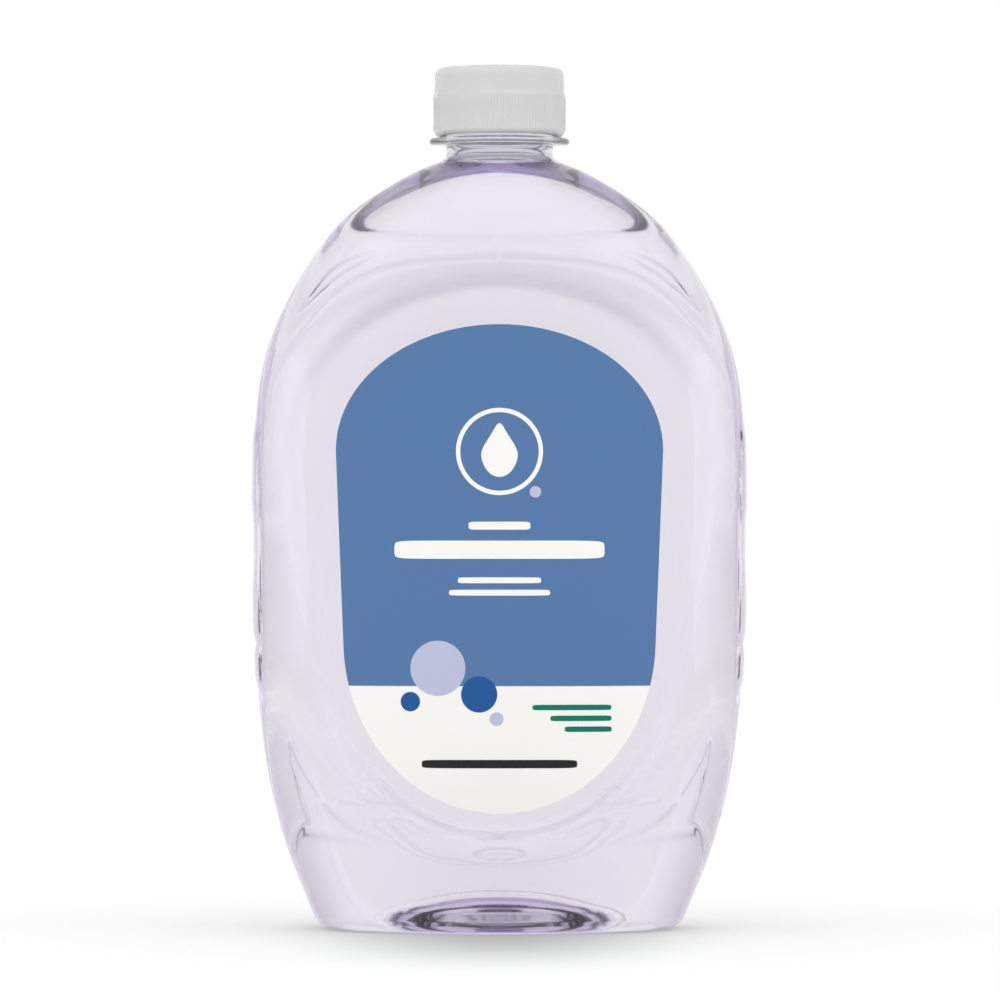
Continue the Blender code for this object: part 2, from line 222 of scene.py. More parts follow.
@dataclass(frozen=True)
class BodyForm:
    """The blown body's surface: an oval section that changes with height, and the relief on it."""

    heel_radius: float = 6.0
    heel_tilt: float = radians(23.5)
    base_width: float = 46.4
    base_depth: float = 26.1
    push_up: float = 11.6
    ring_inner: float = 0.755
    dome_power: float = 1.26
    squareness: float = 2.4
    shoulder_top: float = 214.9
    widths: SmoothCurve = field(default_factory=lambda: SmoothCurve([
        (3.6, 51.9), (22, 59.3), (45, 65.0), (70, 67.9), (97, 68.8), (125, 68.9), (149, 67.6), (165, 64.0),
        (180, 57.0), (192, 49.1), (201, 40.4), (208, 29.9), (212.2, 21.9), (214.9, 15.0),
    ]))
    depths: SmoothCurve = field(default_factory=lambda: SmoothCurve([
        (3.6, 31.6), (22, 34.6), (45, 37.0), (80, 38.8), (120, 39.2), (150, 38.6), (170, 36.6), (185, 33.0),
        (196, 28.4), (205, 22.6), (211, 17.6), (214.9, 15.0),
    ]))
    label: LabelOutline = LabelOutline()
    panel_depth: float = 0.9
    dent_height: float = 107.0
    dent_reach: float = 14.0
    dent_half_depth: float = 15.0
    dent_relief: float = 0.4
    strip_bottom: float = 23.0
    strip_top: float = 178.0
    strip_edge: float = 14.5

    @property
    def wall_bottom(self) -> float:
        """Height at which the heel's rounding meets the wall."""
        return self.heel_radius * (1 - sin(self.heel_tilt))

    def power(self, z: Array) -> Array:
        """The section's squareness: a circle at the neck, squarer down the body."""
        return 2 + (self.squareness - 2) * smooth_step(self.shoulder_top, 180.0, z)

    def plain(self, angle: Array, z: Array) -> Array:
        """Points of the body before any relief, as rows of x, y, z."""
        power = self.power(z)
        scale = (np.abs(np.cos(angle)) ** power + np.abs(np.sin(angle)) ** power) ** (-1 / power)
        x = self.widths(z) * scale * np.cos(angle)
        y = self.depths(z) * scale * np.sin(angle)
        return np.stack([x, y, z + 0 * x], axis=-1)

    def normals(self, angle: Array, z: Array) -> Array:
        """Outward directions of the plain body, by small steps along and across it."""
        step = 0.05
        low, high = np.minimum(z, self.shoulder_top - step), np.maximum(z, self.wall_bottom + step)
        up = self.plain(angle, low + step) - self.plain(angle, high - step)
        along = self.plain(angle + 0.002, z) - self.plain(angle - 0.002, z)
        out = np.cross(along, up)
        return out / np.linalg.norm(out, axis=-1, keepdims=True)

    def panel(self, x: Array, z: Array) -> Array:
        """Depth of the label panel, whose slope runs round the label at a growing distance."""
        return self.panel_depth * (1 - self.panel_share(x, z))

    def panel_share(self, x: Array, z: Array) -> Array:
        """How far each point lies across the panel's slope, from 0 inside it to 1 outside."""
        up = smooth_step(40.0, 150.0, z)
        return smooth_step(4.4 + 4.2 * up, 7.6 + 8.4 * up, self.label.beyond(x, z))

    def side_pads(self, y: Array, z: Array) -> Array:
        """The leaf-shaped strip down a narrow side: its border line, pads, notches and grip dent."""
        share = np.clip((z - self.strip_bottom) / (self.strip_top - self.strip_bottom), 0, 1)
        edge = self.strip_width(share)
        inside = smooth_step(edge + 0.4, edge - 2.2, np.abs(y)) * (share > 0) * (share < 1)
        pads = 0.4 * smooth_step(62.0, 67.5, z) * smooth_step(142.0, 137.0, z)
        notches = -0.6 * (np.exp(-((z - 79.4) / 1.9) ** 2) + np.exp(-((z - 66.5) / 1.9) ** 2))
        dent = np.hypot((z - self.dent_height) / self.dent_reach, y / self.dent_half_depth)
        hollow = -self.dent_relief * (1 - smooth_step(0.4, 1.0, dent))
        return inside * (pads + notches) + hollow - 0.3 * self.strip_border(y, z)

    def strip_width(self, share: Array) -> Array:
        """Half-width of the side strip, `share` of the way up it."""
        return self.strip_edge * np.sin(pi * np.clip(share, 0, 1)) ** 0.8

    def strip_border(self, y: Array, z: Array) -> Array:
        """How strongly a point feels the border line of the side strip, from 0 to 1."""
        share = (z - self.strip_bottom) / (self.strip_top - self.strip_bottom)
        ends = smooth_step(0.0, 0.1, share) * smooth_step(1.0, 0.9, share)
        return ends * np.exp(-((np.abs(y) - self.strip_width(share)) / 1.1) ** 2)

    def painted_fold_shade(self, points: Array) -> Array:
        """How much painted shade darkens the wall at each point, from 0 to 1, along its folds, slopes, strip
        borders and lower sides.
        """
        x, y, z = points[..., 0], points[..., 1], points[..., 2]
        facing = smooth_step(0.12, 0.4, np.abs(y) / self.depths(z))
        sideways = smooth_step(0.72, 0.93, np.abs(x) / self.widths(z))
        share = self.panel_share(x, z)
        ends = np.maximum(smooth_step(140.0, 172.0, z), 0.9 * smooth_step(55.0, 36.0, z))
        total = facing * 4 * share * (1 - share) * (0.12 + 0.5 * ends)
        total += 0.5 * sideways * self.strip_border(y, z)
        total += 0.4 * sideways * smooth_step(62.0, 22.0, z)
        for stroke in MOULD_LINES:
            total += facing * stroke.painted_shade * stroke.strength(x, z)
        total += facing * 0.7 * np.exp(-((self.dimple(x, z) - 1.0) / 0.16) ** 2)
        return np.clip(total, 0.0, 1.0)

    def crispness(self, points: Array) -> Array:
        """How close each point is to a crisp line of the mould, from 0 to 1."""
        x, y, z = points[..., 0], points[..., 1], points[..., 2]
        facing = np.abs(y) / self.depths(z) > 0.15
        near = 0.6 * np.exp(-((self.dimple(x, z) - 1.0) / 0.5) ** 2)
        for stroke in MOULD_LINES:
            wide = Stroke(stroke.points, 1.0, 2.6 if stroke.spread < 0.6 else 1.6, 1.0, 0.0, 0.0)
            near = np.maximum(near, wide.strength(x, z) * (1.0 if stroke.spread < 0.6 else 0.5))
        return facing * near

    def dimple(self, x: Array, z: Array) -> Array:
        """Distance from the middle of the small oval dimple low on a face, 1 at its edge."""
        return np.hypot(x / 6.6, (z - 22.2) / 1.6)

    def relief(self, points: Array, fine: bool) -> Array:
        """How far the real surface stands off the plain body.

        Args:
            points: points of the plain body.
            fine: also draw the fine mould lines, which the wall's inside doesn't show.

        Returns:
            The distance outwards in millimetres.
        """
        x, y, z = points[..., 0], points[..., 1], points[..., 2]
        facing = smooth_step(0.12, 0.4, np.abs(y) / self.depths(z))
        sideways = smooth_step(0.72, 0.93, np.abs(x) / self.widths(z))
        lift = -facing * self.panel(x, z)
        lift += sideways * self.side_pads(y, z)
        if not fine:
            return lift
        for stroke in MOULD_LINES:
            lift += facing * stroke.height * stroke.strength(x, z)
        return lift - facing * 0.4 * smooth_step(1.3, 0.7, self.dimple(x, z))

    def wall(self, angle: Array, z: Array, inset: float, fine: bool = False) -> Array:
        """Points of the body's wall, `inset` inside its skin."""
        points = self.plain(angle, z)
        off = self.relief(points, fine) - inset
        return points + self.normals(angle, z) * off[..., None]

    def face(self, x: Array, z: Array, side: int, offset: float) -> Array:
        """Points on the front (side -1) or the back (side 1) over given places, `offset` off the skin."""
        wide, deep, power = self.widths(z), self.depths(z), self.power(z)
        share = np.clip(np.abs(x) / wide, 0, 1)
        y = side * deep * (1 - share ** power) ** (1 / power)
        angle = np.arctan2(y / deep, x / wide)
        points = np.stack([x, y, z + 0 * x], axis=-1)
        off = self.relief(points, False) + offset
        return points + self.normals(angle, z) * off[..., None]


MOULD_LINES = (
    # the arched rim of the face, over the label panel
    Stroke(((0.0, 186.4), (30.8, 183.6), (47.0, 174.8), (56.6, 164.1), (62.3, 153.5), (65.3, 140.0)),
           0.18, 0.9, 0.35, 0.01, 0.25),
    # the two lines of the leaf-shaped crease that climbs on to each shoulder
    Stroke(((29.9, 189.9), (42.3, 185.8), (49.4, 180.3), (56.8, 170.2)), 0.3, 0.38, 0.9, 0.45, 0.05),
    Stroke(((30.5, 188.9), (39.8, 184.3), (48.2, 178.6), (55.5, 171.4)), 0.3, 0.38, 0.9, 0.45, 0.05),
    # the two creases that part from a point above each lower corner
    Stroke(((58.3, 53.7), (56.3, 48.5), (53.0, 42.7), (49.4, 37.2)), 0.3, 0.36, 1.0, 0.02, 0.1),
    Stroke(((49.4, 37.2), (42.0, 30.1), (34.0, 26.3), (26.0, 24.0)), 0.25, 0.9, 0.5, 0.1, 0.8),
    Stroke(((58.3, 53.0), (57.4, 46.0), (55.6, 39.0), (52.9, 30.6)), 0.3, 0.36, 1.0, 0.02, 0.02),
    Stroke(((52.9, 30.6), (54.8, 28.6), (56.4, 24.0), (56.0, 20.0)), 0.3, 0.6, 0.8, 0.02, 0.6),
    # the long shallow arc round the foot of the panel, and the small wedge at its end
    Stroke(((0.0, 19.6), (17.8, 21.6), (25.8, 26.2), (30.5, 31.0)), 0.15, 0.5, 0.45, 0.01, 0.05),
    Stroke(((30.5, 31.2), (26.0, 31.4), (19.5, 28.4), (8.0, 26.8)), 0.15, 0.5, 0.4, 0.05, 0.6),
    Stroke(((38.7, 38.2), (35.5, 36.6), (30.0, 36.0), (27.0, 34.4)), 0.2, 0.7, 0.4, 0.2, 0.6),
    # the edge where the face meets the sloping collar round the neck
    Stroke(((0.0, 211.6), (12.0, 210.0), (22.5, 206.6), (32.4, 201.8)), 0.12, 0.6, 0.35, 0.01, 0.2),
)


# ---------------------------------------------------------------- mesh building

def even_heights(form: BodyForm, low: float, high: float, count: int) -> Array:
    """Heights that lie evenly along the body's profile.

    Args:
        form: the body.
        low: lowest height.
        high: highest height.
        count: how many heights.

    Returns:
        The heights, rising.
    """
    fine = np.linspace(low, high, 2000)
    rise = np.diff(fine)
    run = np.hypot(np.diff(form.widths(fine)), rise) + np.hypot(np.diff(form.depths(fine)), rise)
    length = np.concatenate([[0.0], np.cumsum(run)])
    return np.interp(np.linspace(0, length[-1], count), length, fine)


def rolled(rings: Sequence[Ring], columns: int, heights: Array | None = None) -> bmesh.types.BMesh:
    """Roll a flat grid round the Z axis, one row on each ring, and weld its seam and poles.

    Args:
        rings: for each row, a function from angles to x, y and z.
        columns: how many facets go round.
        heights: for each row, the height that its points remember along with their angle.

    Returns:
        The closed mesh, with its faces outwards.
    """
    mesh = bmesh.new()
    bmesh.ops.create_grid(mesh, x_segments=columns, y_segments=len(rings) - 1, size=1)
    angles = 2 * pi * (np.arange(columns + 1) % columns) / columns - pi / 2
    places = [np.stack(np.broadcast_arrays(*ring(angles)), axis=-1) for ring in rings]
    for vertex, place in zip(mesh.verts, np.concatenate(places)):
        vertex.co = place
    if heights is not None:
        east, north, height = (mesh.verts.layers.float.new(key) for key in REMEMBERED)
        for index, vertex in enumerate(mesh.verts):
            row, column = divmod(index, columns + 1)
            vertex[east], vertex[north] = cos(angles[column]), sin(angles[column])
            vertex[height] = heights[row]
    bmesh.ops.remove_doubles(mesh, verts=mesh.verts, dist=1e-4)
    bmesh.ops.recalc_face_normals(mesh, faces=mesh.faces)
    return mesh


def refine(mesh: bmesh.types.BMesh, form: BodyForm, passes: Sequence[float]) -> None:
    """Divide the outer wall's faces where it is folded, and lay the new points on the exact surface.

    Args:
        mesh: the bottle, with its points' angles and heights.
        form: the body.
        passes: for each round of division, how folded a face must be.
    """
    east, north, height = (mesh.verts.layers.float[key] for key in REMEMBERED)

    def on_wall() -> tuple[Array, Array, Array]:
        rows = np.array([(v[east], v[north], v[height]) for v in mesh.verts])
        wall = rows[:, 2] > form.wall_bottom - 0.01
        return wall, np.arctan2(rows[wall, 1], rows[wall, 0]), rows[wall, 2]

    for least in passes:
        mesh.verts.ensure_lookup_table()
        wall, angles, levels = on_wall()
        folded = np.full(len(wall), -1.0)
        folded[wall] = form.crispness(form.plain(angles, levels))
        chosen = []
        for face in mesh.faces:
            corners = [folded[v.index] for v in face.verts]
            if len(corners) == 4 and min(corners) >= 0 and max(corners) > least:
                chosen.append(face)
        edges = list({edge for face in chosen for edge in face.edges})
        bmesh.ops.subdivide_edges(mesh, edges=edges, cuts=1, use_grid_fill=True)
        mesh.verts.index_update()
    mesh.verts.ensure_lookup_table()
    wall, angles, levels = on_wall()
    places = form.wall(angles, levels, 0.0, True)
    # painted shade: how much darker each wall point is drawn along the folds, kept for the clear plastic's
    # colour
    painted_shades = form.painted_fold_shade(form.plain(angles, levels))
    painted_shade = mesh.verts.layers.float.new(PAINTED_FOLD_SHADE)
    for index, place, value in zip(np.flatnonzero(wall), places, painted_shades):
        mesh.verts[index].co = place
        mesh.verts[index][painted_shade] = value


def round_ring(radius: float | Callable[[Array], Array], z: float) -> Ring:
    """A ring round the Z axis whose radius may depend on the angle."""
    def place(angle: Array) -> tuple[Array, Array, Array]:
        reach = radius(angle) if callable(radius) else radius
        return reach * np.cos(angle), reach * np.sin(angle), z + 0 * angle
    return place


def arc(centre: tuple[float, float], radius: float, start: float, end: float, count: int) -> list[tuple]:
    """Points (radius, height) of a rounding, in degrees, for turned profiles."""
    turns = np.radians(np.linspace(start, end, count))
    return [(centre[0] + radius * cos(t), centre[1] + radius * sin(t)) for t in turns]


def finish_piece(name: str, mesh: bmesh.types.BMesh, materials: Sequence[bpy.types.Material], body: str,
                 nodes: Sequence[str], sharp: float = 40.0) -> bpy.types.Object:
    """Turn a mesh drawn in millimetres into a dressed piece that rides on a body.

    Args:
        name: the piece's name.
        mesh: its mesh; it is freed here.
        materials: its finish, or the finishes that its faces number.
        body: the body that it moves with.
        nodes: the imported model's solids that it stands for.
        sharp: edges steeper than this many degrees stay sharp.

    Returns:
        The object.
    """
    bmesh.ops.scale(mesh, vec=(MM, MM, MM), verts=mesh.verts)
    data = bpy.data.meshes.new(name)
    mesh.to_mesh(data)
    mesh.free()
    data.shade_smooth()
    data.set_sharp_from_angle(angle=radians(sharp))
    for material in materials:
        data.materials.append(material)
    piece = bpy.data.objects.new(name, data)
    bpy.context.scene.collection.objects.link(piece)
    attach(piece, body)
    if nodes:
        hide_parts(*nodes)
    log.info("%s: %d faces on %s", name, len(data.polygons), body)
    return piece


# ---------------------------------------------------------------- finishes

class Recipe:
    """A node material under construction."""

    def __init__(self, name: str) -> None:
        """Start a material with a Principled shader and Object coordinates."""
        self.material = bpy.data.materials.new(name)
        self.material.use_nodes = True
        self.tree = self.material.node_tree
        self.shader = self.tree.nodes["Principled BSDF"]
        self.output = self.tree.nodes["Material Output"]
        self.place = self.tree.nodes.new("ShaderNodeTexCoord").outputs["Object"]

    def node(self, kind: str, **settings: object) -> bpy.types.Node:
        """Add a node and set its properties and its inputs' values by name."""
        made = self.tree.nodes.new(kind)
        for key, value in settings.items():
            if key in made.bl_rna.properties:
                setattr(made, key, value)
            else:
                made.inputs[key.replace("_", " ")].default_value = value
        return made

    def link(self, source: bpy.types.NodeSocket, target: bpy.types.NodeSocket) -> None:
        """Join two sockets."""
        self.tree.links.new(source, target)

    def set(self, **values: object) -> None:
        """Set the shader's own sockets by name."""
        for key, value in values.items():
            self.shader.inputs[key.replace("_", " ")].default_value = value

    def noise(self, scale: float, detail: float = 3.0) -> bpy.types.NodeSocket:
        """Noise over the piece, its scale in cycles a metre."""
        made = self.node("ShaderNodeTexNoise", Scale=scale, Detail=detail)
        self.link(self.place, made.inputs["Vector"])
        return made.outputs["Fac"]

    def spread(self, source: bpy.types.NodeSocket, low: float, high: float) -> bpy.types.NodeSocket:
        """Spread a 0 to 1 value over a range."""
        made = self.node("ShaderNodeMapRange")
        self.link(source, made.inputs["Value"])
        made.inputs["To Min"].default_value = low
        made.inputs["To Max"].default_value = high
        return made.outputs["Result"]

    def blend(self, share: bpy.types.NodeSocket, low: object, high: object) -> bpy.types.NodeSocket:
        """Blend from one colour to another; each is a colour or a socket."""
        made = self.node("ShaderNodeMix", data_type="RGBA")
        self.link(share, made.inputs[0])
        for socket, colour in ((made.inputs[6], low), (made.inputs[7], high)):
            if isinstance(colour, bpy.types.NodeSocket):
                self.link(colour, socket)
            else:
                socket.default_value = (*colour, 1)
        return made.outputs[2]

    def bump(self, source: bpy.types.NodeSocket, distance: float, strength: float = 1.0) -> None:
        """Raise the surface by a value, `distance` metres at 1."""
        made = self.node("ShaderNodeBump", Strength=strength, Distance=distance)
        self.link(source, made.inputs["Height"])
        self.link(made.outputs["Normal"], self.shader.inputs["Normal"])


@dataclass(frozen=True)
class ClearPlastic:
    """Blown clear plastic: glossy, with the faint waviness of a blown wall."""

    colour: tuple[float, float, float] = (0.985, 0.985, 0.99)
    # colour of the painted shade along the wall's folds and slopes
    folded: tuple[float, float, float] = (0.70, 0.66, 0.76)
    neck: tuple[float, float, float] = (0.66, 0.65, 0.71)
    ring: tuple[float, float, float] = (0.98, 0.98, 0.99)
    neck_foot: float = 0.2118
    ring_foot: float = 0.2188
    ior: float = 1.5

    def make(self) -> bpy.types.Material:
        """Build the material, with painted shade where the wall is folded and a darker tint on the neck."""
        recipe = Recipe("clear_pet")
        recipe.set(IOR=self.ior, Transmission_Weight=1.0)
        painted_fold_shade = recipe.node("ShaderNodeAttribute", attribute_name=PAINTED_FOLD_SHADE)
        height = recipe.node("ShaderNodeSeparateXYZ")
        recipe.link(recipe.place, height.inputs["Vector"])
        # darker tint on the neck, from its foot up to the handling ring
        on_neck = recipe.node("ShaderNodeMapRange")
        recipe.link(height.outputs["Z"], on_neck.inputs["Value"])
        on_neck.inputs["From Min"].default_value = self.neck_foot
        on_neck.inputs["From Max"].default_value = self.neck_foot + 0.003
        # painted shade: the wall's colour darkens where the painted fold shade is high
        body = recipe.blend(painted_fold_shade.outputs["Fac"], self.colour, self.folded)
        upper = recipe.node("ShaderNodeMapRange")
        recipe.link(height.outputs["Z"], upper.inputs["Value"])
        upper.inputs["From Min"].default_value = self.ring_foot
        upper.inputs["From Max"].default_value = self.ring_foot + 0.0004
        necked = recipe.blend(on_neck.outputs["Result"], body, self.neck)
        tinted = recipe.blend(upper.outputs["Result"], necked, self.ring)
        recipe.link(tinted, recipe.shader.inputs["Base Color"])
        recipe.link(recipe.spread(recipe.noise(60.0), 0.01, 0.05), recipe.shader.inputs["Roughness"])
        recipe.bump(recipe.noise(28.0, 1.0), 0.0002)
        return recipe.material


@dataclass(frozen=True)
class PaleLiquid:
    """Clear liquid soap that takes a lavender cast with depth."""

    ior: float = 1.37
    cast: tuple[float, float, float] = (0.45, 0.33, 0.60)
    density: float = 5.0

    def make(self) -> bpy.types.Material:
        """Build the material, whose cast is a volume absorption."""
        recipe = Recipe("lavender_liquid")
        recipe.set(Base_Color=(1, 1, 1, 1), IOR=self.ior, Transmission_Weight=1.0, Roughness=0.0)
        depth = recipe.node("ShaderNodeVolumeAbsorption")
        depth.inputs["Color"].default_value = (*self.cast, 1)
        depth.inputs["Density"].default_value = self.density
        recipe.link(depth.outputs["Volume"], recipe.output.inputs["Volume"])
        return recipe.material


@dataclass(frozen=True)
class NaturalPlastic:
    """Uncoloured translucent moulded plastic with a satin skin."""

    colour: tuple[float, float, float] = (0.985, 0.985, 0.99)
    transmission: float = 0.50

    def make(self) -> bpy.types.Material:
        """Build the material."""
        recipe = Recipe("natural_pp")
        recipe.set(Base_Color=(*self.colour, 1), IOR=1.49, Transmission_Weight=self.transmission)
        recipe.link(recipe.spread(recipe.noise(300.0), 0.2, 0.28), recipe.shader.inputs["Roughness"])
        recipe.bump(recipe.noise(900.0, 4.0), 0.00002)
        return recipe.material


@dataclass(frozen=True)
class FoamDisc:
    """White pressed foam with a fine cell."""

    colour: tuple[float, float, float] = (0.86, 0.86, 0.85)

    def make(self) -> bpy.types.Material:
        """Build the material."""
        recipe = Recipe("foam_liner")
        recipe.set(Base_Color=(*self.colour, 1))
        recipe.link(recipe.spread(recipe.noise(2500.0), 0.6, 0.9), recipe.shader.inputs["Roughness"])
        recipe.bump(recipe.noise(2500.0, 5.0), 0.00008)
        return recipe.material


@dataclass(frozen=True)
class PrintedFilm:
    """Satin label film printed in one colour above a line and another below it."""

    name: str
    upper: tuple[float, float, float]
    lower: tuple[float, float, float]
    line_height: float = 68.5

    def make(self) -> bpy.types.Material:
        """Build the material from fields of colour split by height."""
        recipe = Recipe(self.name)
        split = recipe.node("ShaderNodeSeparateXYZ")
        recipe.link(recipe.place, split.inputs["Vector"])
        above = recipe.node("ShaderNodeMapRange")
        recipe.link(split.outputs["Z"], above.inputs["Value"])
        above.inputs["From Min"].default_value = (self.line_height - 0.04) * MM
        above.inputs["From Max"].default_value = (self.line_height + 0.04) * MM
        colours = recipe.blend(above.outputs["Result"], self.lower, self.upper)
        recipe.link(colours, recipe.shader.inputs["Base Color"])
        recipe.link(recipe.spread(recipe.noise(800.0), 0.42, 0.55), recipe.shader.inputs["Roughness"])
        recipe.set(Specular_IOR_Level=0.12)
        recipe.bump(recipe.noise(1500.0, 4.0), 0.000006)
        return recipe.material


class Ink(Enum):
    """The inks of the labels' print."""

    WHITE = (0.950, 0.942, 0.908)
    BLUE = (0.098, 0.198, 0.400)
    LAVENDER = (0.515, 0.539, 0.730)
    NAVY = (0.020, 0.102, 0.332)
    TEAL = (0.004, 0.195, 0.125)
    BLACK = (0.022, 0.022, 0.024)
    GREY = (0.230, 0.235, 0.250)


class Shape(Enum):
    """The simple shapes of the labels' print, with how square their outline is."""

    OVAL = 2.0
    BAR = 9.0
    DROP = 0.0


@dataclass(frozen=True)
class Motif:
    """One printed shape.

    Attributes:
        shape: its kind.
        ink: its ink.
        x: its middle, from the label's middle line.
        z: its middle's height.
        wide: its half-width.
        tall: its half-height.
        hole: share of it that is left open in the middle, for a ring.
    """

    shape: Shape
    ink: Ink
    x: float
    z: float
    wide: float
    tall: float
    hole: float = 0.0

    def outline(self, angle: Array) -> tuple[Array, Array]:
        """The shape's outline, read evenly round it."""
        turn = np.linspace(-pi / 2, 3 * pi / 2, 721)
        if self.shape is Shape.DROP:
            across = np.cos(turn) * (1 - 0.6 * smooth_step(-0.3, 1.0, np.sin(turn)))
            up = np.sin(turn)
        else:
            power = 2 / self.shape.value
            across = np.sign(np.cos(turn)) * np.abs(np.cos(turn)) ** power
            up = np.sign(np.sin(turn)) * np.abs(np.sin(turn)) ** power
        return evenly(angle, self.x + self.wide * across, self.z + self.tall * up)


def bar(ink: Ink, x: float, z: float, wide: float, tall: float) -> Motif:
    """A printed bar with rounded ends."""
    return Motif(Shape.BAR, ink, x, z, wide, tall)


FRONT_PRINT = (
    Motif(Shape.OVAL, Ink.WHITE, 0.0, 133.0, 12.0, 12.0, 0.9),
    Motif(Shape.DROP, Ink.WHITE, 0.0, 133.4, 5.2, 7.4),
    Motif(Shape.OVAL, Ink.LAVENDER, 9.9, 121.9, 1.6, 1.6),
    bar(Ink.WHITE, 0.0, 112.6, 8.5, 1.1),
    bar(Ink.WHITE, 0.0, 106.0, 29.0, 2.5),
    bar(Ink.WHITE, 0.0, 97.6, 11.5, 0.8),
    bar(Ink.WHITE, 0.0, 94.2, 14.0, 0.8),
    Motif(Shape.OVAL, Ink.LAVENDER, -17.0, 73.4, 7.6, 7.6),
    Motif(Shape.OVAL, Ink.NAVY, -5.6, 66.2, 5.0, 5.0),
    Motif(Shape.OVAL, Ink.NAVY, -24.6, 64.2, 2.7, 2.7),
    Motif(Shape.OVAL, Ink.LAVENDER, -0.8, 59.4, 1.9, 1.9),
    bar(Ink.TEAL, 20.0, 62.6, 11.0, 0.75),
    bar(Ink.TEAL, 22.5, 59.6, 8.5, 0.75),
    bar(Ink.TEAL, 24.5, 56.6, 6.5, 0.75),
    bar(Ink.BLACK, 0.0, 47.0, 21.5, 1.15),
)
BACK_PRINT = (
    *(bar(Ink.GREY, 0.0, 118.0 - 4.2 * row, 26.0 - 2.4 * (row % 3), 0.7) for row in range(7)),
    bar(Ink.TEAL, -13.0, 86.0, 12.0, 1.0),
    *(bar(Ink.GREY, -12.0 - 1.5 * (row % 2), 82.0 - 3.4 * row, 13.0 - 1.5 * (row % 2), 0.55)
      for row in range(4)),
    *(bar(Ink.BLACK, 9.0 + 1.55 * line, 78.0, 0.26 + 0.2 * (line % 3), 6.0)
      for line in range(10)),
)


# ---------------------------------------------------------------- sub-assemblies

@dataclass(frozen=True)
class Thread:
    """A right-hand screw ridge round the Z axis, with soft ends."""

    start: float
    pitch: float = 4.233
    depth: float = 1.25
    turns: float = 1.5
    run_out: float = 0.06
    crest: float = 0.45
    root: float = 1.3

    def radius(self, plain: float, z: float, outwards: int) -> Callable[[Array], Array]:
        """The radius at a height of a round wall that carries the ridge.

        Args:
            plain: the wall's radius without the ridge.
            z: the height.
            outwards: 1 where the ridge stands out of the wall, -1 where it stands into a bore.

        Returns:
            A function from angles to radii.
        """
        def radius(angle: Array) -> Array:
            turned = (angle + pi / 2) / (2 * pi)
            gone = np.round((z - self.start) / self.pitch - turned) + turned
            away = np.abs(z - self.start - gone * self.pitch)
            grown = smooth_step(-self.run_out, self.run_out, gone)
            grown = grown * smooth_step(self.turns + self.run_out, self.turns - self.run_out, gone)
            return plain + outwards * self.depth * grown * smooth_step(self.root, self.crest, away)
        return radius


